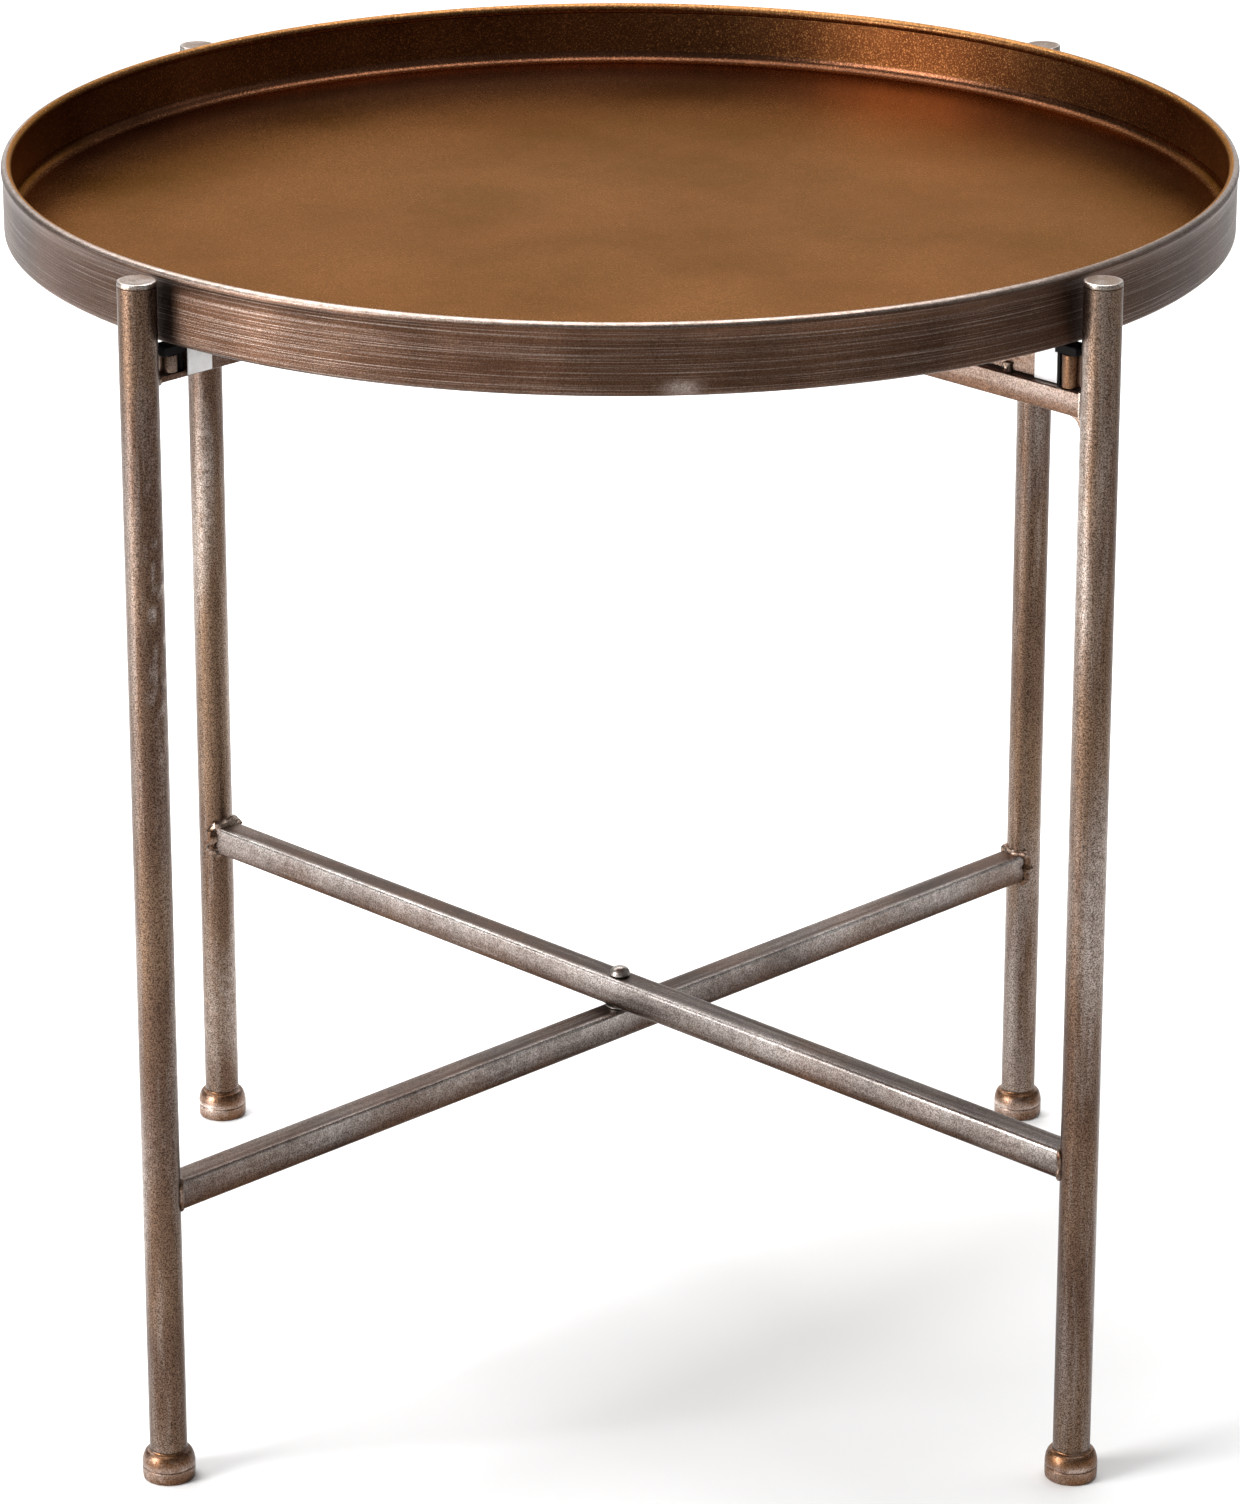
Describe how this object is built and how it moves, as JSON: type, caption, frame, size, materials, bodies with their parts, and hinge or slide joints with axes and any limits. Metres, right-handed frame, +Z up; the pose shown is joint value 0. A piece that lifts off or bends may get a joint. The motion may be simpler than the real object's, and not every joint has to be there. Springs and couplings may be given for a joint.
{
  "type": "tray table",
  "caption": "Round lift-off metal tray with a shallow upright wall, resting between the tops of a folding stand of round legs joined by crossed, riveted bars.",
  "frame": {"origin": "on the floor under the middle of the table, where the two frames cross", "axes": "+Z up out of the tray, -Y towards the front, +X to the right; the legs stand on the diagonals"},
  "size_m": [0.52, 0.52, 0.526],
  "materials": {
    "tray_outside": "burnished dark pewter-brown with brushed silver streaks and a rubbed silver lip",
    "tray_inside": "mottled antique copper-bronze, fine grain, satin",
    "leg_metal": "antiqued bronze-brown over steel, flecked, rubbed bright at the edges",
    "bar_metal": "antiqued bronze-brown over steel, rubbed bright along the edges",
    "rivet_steel": "dull hammered steel",
    "black_rubber": "matt",
    "white_nylon": "matt, lightly scuffed"
  },
  "bodies": {
    "frame_a": {"lower_bar_a": "bar_metal", "upper_bar_a": "bar_metal", "lower_rivet": "rivet_steel", "lower_washer": "rivet_steel", "upper_rivet": "rivet_steel", "upper_spacer": "rivet_steel", "leg_front_left": "leg_metal", "leg_cap_front_left": "leg_metal", "foot_front_left": "leg_metal", "pad_post_front_left": "bar_metal", "rubber_pad_front_left": "black_rubber", "nylon_saddle_front_left": "white_nylon", "leg_back_right": "leg_metal", "leg_cap_back_right": "leg_metal", "foot_back_right": "leg_metal", "pad_post_back_right": "bar_metal", "rubber_pad_back_right": "black_rubber", "nylon_saddle_back_right": "white_nylon"},
    "frame_b": {"lower_bar_b": "bar_metal", "upper_bar_b": "bar_metal", "leg_front_right": "leg_metal", "leg_cap_front_right": "leg_metal", "foot_front_right": "leg_metal", "pad_post_front_right": "bar_metal", "rubber_pad_front_right": "black_rubber", "nylon_saddle_front_right": "white_nylon", "riser_front_right": "bar_metal", "leg_back_left": "leg_metal", "leg_cap_back_left": "leg_metal", "foot_back_left": "leg_metal", "pad_post_back_left": "bar_metal", "rubber_pad_back_left": "black_rubber", "nylon_saddle_back_left": "white_nylon", "riser_back_left": "bar_metal"},
    "tray": {"tray_wall": "tray_outside", "tray_floor": "tray_inside", "tray_lip_wire": "rivet_steel"}
  },
  "joints": [
    {"name": "fold", "type": "hinge", "parent": "frame_a", "child": "frame_b", "pos_m": [0, 0, 0.136], "axis": [0, 0, 1], "range_deg": [-84, 84]},
    {"name": "tray_lift", "type": "slide", "parent": "frame_a", "child": "tray", "axis": [0, 0, 1], "range_m": [0, 0.18]}
  ]
}
